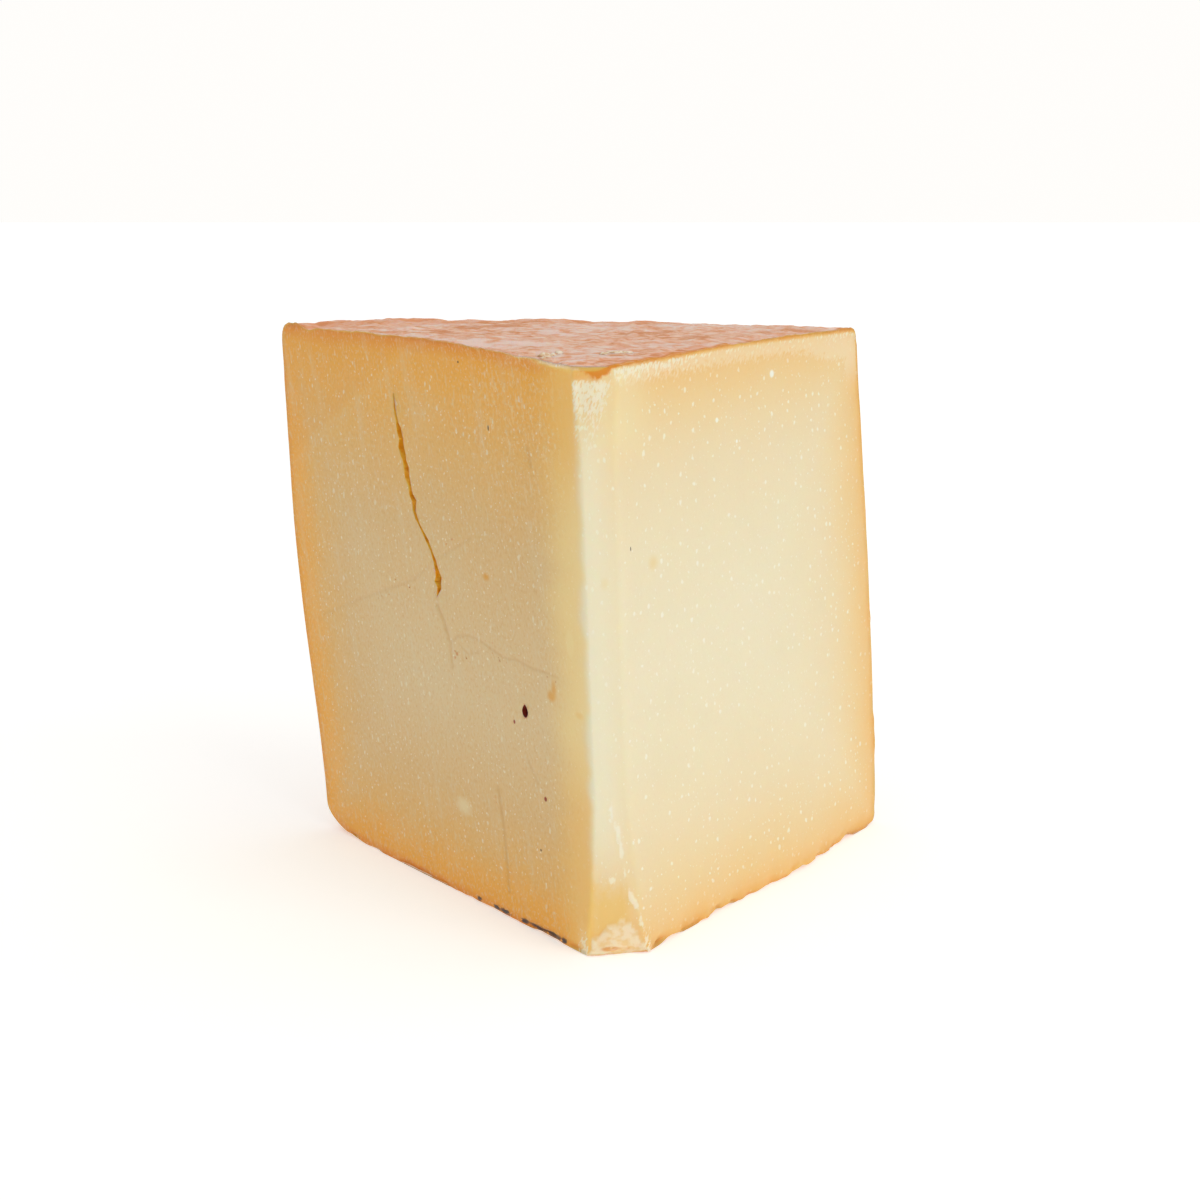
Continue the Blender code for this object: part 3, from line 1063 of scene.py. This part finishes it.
# Painted highlight: a lighter line along the border of that painted shade.
painted_line_highlight = 1.0 - between((past_shade_line + 1.6).size(), 0.3, 1.9)
paste_coats.lay(pale, painted_line_highlight * left * 0.07)
paste_coats.lay(pale, between(nicks, 0.60, 0.76) * (left * 0.30 + 0.05))
paste_coats.lay(ochre, between(strokes, 0.48, 0.24) * (left * 0.20 + 0.03))
paste_coats.lay(pale, between(smears, 0.52, 0.80) * (left * 0.20))
paste_coats.lay(pale, between(cloud, 0.5, 0.75) * 0.12)

# White crystals, large and small, thinner on the ground in the ripened layer.
ruffled = stirred(flat, 0.8, 1.0, (0.7, 0.7, 0.0))
ruffled_x = part_of(ruffled, 0)
ruffled_z = part_of(ruffled, 1)


def crystals(pitch, share, smallest, largest, shift, squeeze=1.0):
    """Dots of mixed radius on a share of the cells of a scatter with that pitch."""
    shifted = on_face(ruffled_x + shift, ruffled_z * squeeze)
    dots = cheese_finish.node(
        "TexVoronoi", {"voronoi_dimensions": "2D"}, {"Vector": shifted, "Scale": 1.0 / pitch}
    )
    cell = Term(dots.socket.node.outputs[1])
    draw, second_draw = (
        cheese_finish.node("SeparateColor", None, {0: cell}, output=i) for i in (0, 1)
    )
    radius = (second_draw ** 2.0) * (largest - smallest) + smallest
    crowd = (mottle(shifted, 9.0, 2.0) - 0.5) * 1.1
    shown = between(draw + crowd, 1.0 - share, 1.0 - share + 0.05)
    return (1.0 - between(dots * pitch / radius, 0.5, 1.2)) * shown


sown = between(depth, 1.0, 9.0) * 0.75 + 0.25
bright_dots = crystals(2.3, 0.46, 0.17, 0.48, shift=3.7) * sown * (1.0 - left)
dim_dots = crystals(2.0, 0.30, 0.15, 0.36, shift=51.3, squeeze=0.6) * sown * (left * 0.80 + 0.20)
dust = crystals(1.3, 0.42, 0.10, 0.25, shift=17.9) * sown
paste_coats.lay(tone(252, 247, 228), bright_dots * 0.72)
paste_coats.lay(tone(238, 228, 198), dim_dots * 0.62)
paste_coats.lay(tone(250, 243, 220), dust * 0.55)


def spot(out, height, half_width, half_height, soft=0.5):
    """An oval mark on a cut face; out is negative on the left face."""
    offset = cheese_finish.node(
        "VectorMath", {"operation": "SUBTRACT"}, {0: flat, 1: (out, height, 0.0)}
    )
    size = stretched(offset, half_width, half_height, 1.0)
    gap = cheese_finish.node("VectorMath", {"operation": "LENGTH"}, {0: size}, output=1)
    return 1.0 - between(gap, 1.0 - soft, 1.0 + soft)


# Specks, stains and patches that stand at one place each.
MARKS = (  # colour, strength, then spots as (out, height, half width, half height, softness)
    (tone(150, 48, 16), 0.95, ((-18.9, 25.0, 0.40, 0.42, 0.3), (-27.6, 36.8, 0.30, 0.34, 0.4))),
    (tone(96, 58, 34), 0.85, ((-21.0, 15.4, 0.26, 0.20, 0.5), (-31.7, 87.2, 0.22, 0.46, 0.3),
                              (9.0, 69.7, 0.16, 0.34, 0.4), (-40.4, 97.7, 0.25, 0.2, 0.4))),
    (tone(226, 158, 44), 0.8, ((-15.7, 43.7, 1.15, 0.85, 0.6), (-7.7, 42.0, 1.0, 0.5, 0.7),
                               (-34.6, 61.1, 0.8, 0.6, 0.7), (-15.0, 44.8, 0.6, 1.4, 0.9))),
    (tone(236, 206, 128), 0.5, ((15.8, 66.3, 1.2, 1.0, 0.8), (0.8, 64.5, 0.9, 0.8, 0.8))),
    (tone(238, 228, 186), 0.6, ((-9.6, 53.8, 1.1, 2.2, 0.4), (-45.8, 17.2, 2.2, 1.4, 0.7))),
    (tone(253, 250, 238), 0.9, ((58.3, 94.1, 0.75, 0.65, 0.4), (38.2, 87.8, 0.5, 0.42, 0.4),
                                (45.0, 83.4, 0.35, 0.3, 0.4))),
)


def any_of(spots):
    """1 inside any of the spots."""
    mask = 0.0
    for one in spots:
        mask = spot(*one).higher(mask)
    return mask


for mark_colour, strength, spots in MARKS:
    paste_coats.lay(mark_colour, any_of(spots) * strength)
paste_coats.lay(tone(206, 150, 78), scarred * 0.32)

# The nose: painted light where its lit edge is thin, greenish white, a painted yellow glow
# of light through the paste behind it, deep amber just under the rind, painted yellow light
# over the foot, which faces a little down, and a bloom of white where it crumbled.
nose = 1.0 - between(flat_x.size(), 3.0, 9.0)
# Painted light: the lit edge of the nose, laid greenish white.
painted_lit_nose = nose * between(flat_z, 12.0, 26.0) * (1.0 - between(flat_z, 86.0, 94.0))
painted_lit_nose = painted_lit_nose * (1.0 - between(flat_x, -3.0, 6.0) * 0.8)
paste_coats.lay(tone(246, 242, 216), painted_lit_nose * 0.62)
# Painted light: a yellow glow on the left face beside the nose, for light shining through the thin
# paste.
painted_glow = between(from_edge, 4.0, 7.0) * (1.0 - between(from_edge, 8.0, 19.0))
low_or_high = 1.0 - between(flat_z, 22.0, 40.0) * (1.0 - between(flat_z, 70.0, 90.0))
painted_glow_tone = cheese_finish.mix(tone(252, 224, 150), tone(250, 202, 108), low_or_high)
paste_coats.lay(painted_glow_tone, painted_glow * 0.70)
ragged = mottle(flat, (1.6, 1.6, 1.0), 2.0) - 0.5
amber_wedge = 1.0 - between(
    (flat_x - 0.8).size() * 0.36 + (99.4 - flat_z) + ragged * 2.0, 1.7, 2.6
)
off_wedge = 1.0 - amber_wedge
paste_coats.lay(tone(226, 142, 32), amber_wedge * 0.95)
# Painted light: the foot of the nose faces a little down and is laid lighter and yellower as if
# lit through the paste.
painted_foot_light = nose * (1.0 - between(flat_z + ragged * 4.0, 9.0, 15.5))
painted_foot_light = painted_foot_light * (1.0 - between(flat_x, 2.0, 9.0) * 0.7)
paste_coats.lay(tone(240, 200, 112), painted_foot_light * 0.75)
edge_line = (1.0 - between(depth + ragged * 0.6, 0.35, 0.95)) * between(flat_z, 70.0, 96.0)
paste_coats.lay(tone(214, 134, 44), edge_line * 0.85)
beside_brow = between(flat_x, -2.0, 3.0) * (1.0 - between(flat_x, 8.0, 20.0))
beside_brow = beside_brow * between(flat_z, 82.0, 90.0) * (1.0 - edge_line) * off_wedge
paste_coats.lay(tone(246, 232, 184), beside_brow * 0.5)
creamy = crumbly * (1.0 - edge_line) * off_wedge * (1.0 - between(flat_x, 4.0, 12.0))
paste_coats.lay(tone(246, 230, 184), creamy * 0.6)

# Torn paste is white: frost under the upper rind of the right cut, shreds at the nose, the
# crumbled ridges, and the flake pressed over the foot with an amber slot below it.
SHRED_SLANT = -0.55
crumb_grain = mottle(solid, 0.0008, 2.0)
shreds = mottle(on_face(flat_x + flat_z * SHRED_SLANT, flat_z), (0.60, 0.95, 1.0), 2.0)
frost_depth = 3.6 + between(flat_x, 66.0, 84.0) * 2.4 + (shreds - 0.5) * 5.0 + ragged * 2.0
frost = between(depth, 0.7, 1.4) * (1.0 - between(depth, frost_depth - 1.2, frost_depth + 0.8))
frost = frost * between(flat_x, 3.0, 9.0) * between(flat_z, 88.0, 95.0)
paste_coats.lay(tone(250, 237, 204), frost * 0.42)
whitened = between(shreds + crumbly * 0.37, 0.67, 0.80) * between(crumbly, 0.04, 0.25)
paste_coats.lay(tone(250, 243, 220), whitened * off_wedge * (crumbly * 0.35 + 0.45))
ridge_white = between(ridged + (crumb_grain - 0.5) * 0.9, 0.24, 0.66)
paste_coats.lay(tone(250, 246, 226), ridge_white * 0.6)
flake_rough = mottle(flat, (3.0, 1.5, 1.0), 2.0)
flake_tone = cheese_finish.mix(
    tone(240, 212, 160), tone(246, 230, 200), between(flake_rough, 0.36, 0.56)
)
paste_coats.lay(flake_tone, flaked * 0.85)
slot = spot(-1.2, 1.3, 2.4, 0.45, 0.4) * between(flake_rough, 0.36, 0.5)
paste_coats.lay(tone(222, 150, 66), slot * 0.8)

# Blue-grey mould in the crease of the lower left edge.
MOULD_SPOTS = (  # (distance out, half width)
    (41.9, 0.8), (36.1, 1.2), (33.4, 1.8), (27.1, 1.4), (22.6, 3.0), (18.2, 3.2), (15.0, 1.0),
)
mould = any_of((-out, 0.75, half_width, 0.50, 0.6) for out, half_width in MOULD_SPOTS)
blotches = between(mottle(flat, (1.2, 0.45, 1.0), 2.5) + mould * 0.26, 0.56, 0.66)
paste_coats.lay(tone(60, 62, 68), mould * blotches * 0.95)

# The rind: terracotta, rubbed with a pinkish white bloom, darker where it was handled.
swirl = stirred(solid, 0.009, 2.0, (0.007, 0.007, 0.007))
rind_wide = mottle(swirl, (0.013, 0.011, 0.011), 3.0, 0.6)
rind_close = mottle(swirl, (0.0030, 0.0024, 0.0024), 4.0, 0.65)
rings = mottle(solid, (0.050, 0.050, 0.0016), 3.0, 0.6)
side_pale = between(rind_close + (rings - 0.5) * 0.8, 0.36, 0.64)
side_skin = cheese_finish.mix(tone(218, 152, 92), tone(232, 182, 128), side_pale)
top_pale = between(rind_close, 0.36, 0.62)
top_skin = cheese_finish.mix(tone(236, 164, 122), tone(246, 198, 170), top_pale)
rind_coats = Coats(cheese_finish, cheese_finish.mix(side_skin, top_skin, facing_up))
bloom = between(rind_wide + (rind_close - 0.5) * 0.9, 0.46, 0.68)
rind_coats.lay(tone(246, 222, 212), bloom * (facing_up * 0.44 + 0.22))
worn_skin = between(rind_wide + (rind_close - 0.5) * 0.5, 0.45, 0.34)
rind_coats.lay(tone(216, 130, 66), worn_skin * (facing_up * 0.25 + 0.42))
rind_coats.lay(tone(230, 142, 84), far_edge * 0.45)
scratches = mottle(swirl, (0.0060, 0.0011, 0.0030), 2.0, 0.6)
rubbed = between(scratches, 0.58, 0.70)
rind_coats.lay(tone(248, 226, 214), rubbed * (facing_up * 0.33 + 0.12))
rind_coats.lay(tone(218, 132, 42), brink * 0.9)
paste_coats.lay(rind_coats.colour, between(outside + (crumb_grain - 0.5) * 0.3, 0.35, 0.6))

# What is too fine for the mesh: the heights are in millimetres.
relief = strokes * (left * 0.05 + 0.010) + fine * 0.04 + (bright_dots + dim_dots) * 0.03
relief = relief + curls * 0.06 + orange_peel * (left * 0.05 + 0.015)
relief = relief + crumbly * (crumb_grain * 0.10 + shreds * 0.25)
relief = relief + outside * (rind_close * 0.30 + fine * 0.12 + rings * 0.12)
bump = cheese_finish.node("Bump", None, {"Height": relief, "Distance": 0.001, "Strength": 0.7})
roughness = 0.46 + fine * 0.12 + outside * 0.10 - bright_dots * 0.08
cheese_shader = cheese_finish.node("BsdfPrincipled", None, {
    "Base Color": paste_coats.colour,
    "Roughness": roughness,
    "Normal": bump,
    "Subsurface Weight": 0.55,
    "Subsurface Scale": 0.004,
    "Subsurface Radius": (1.0, 0.66, 0.38),
    "IOR": 1.42,
})
cheese_finish.node("OutputMaterial", None, {"Surface": cheese_shader})

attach(cheese, "root")
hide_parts("cheese_wedge")
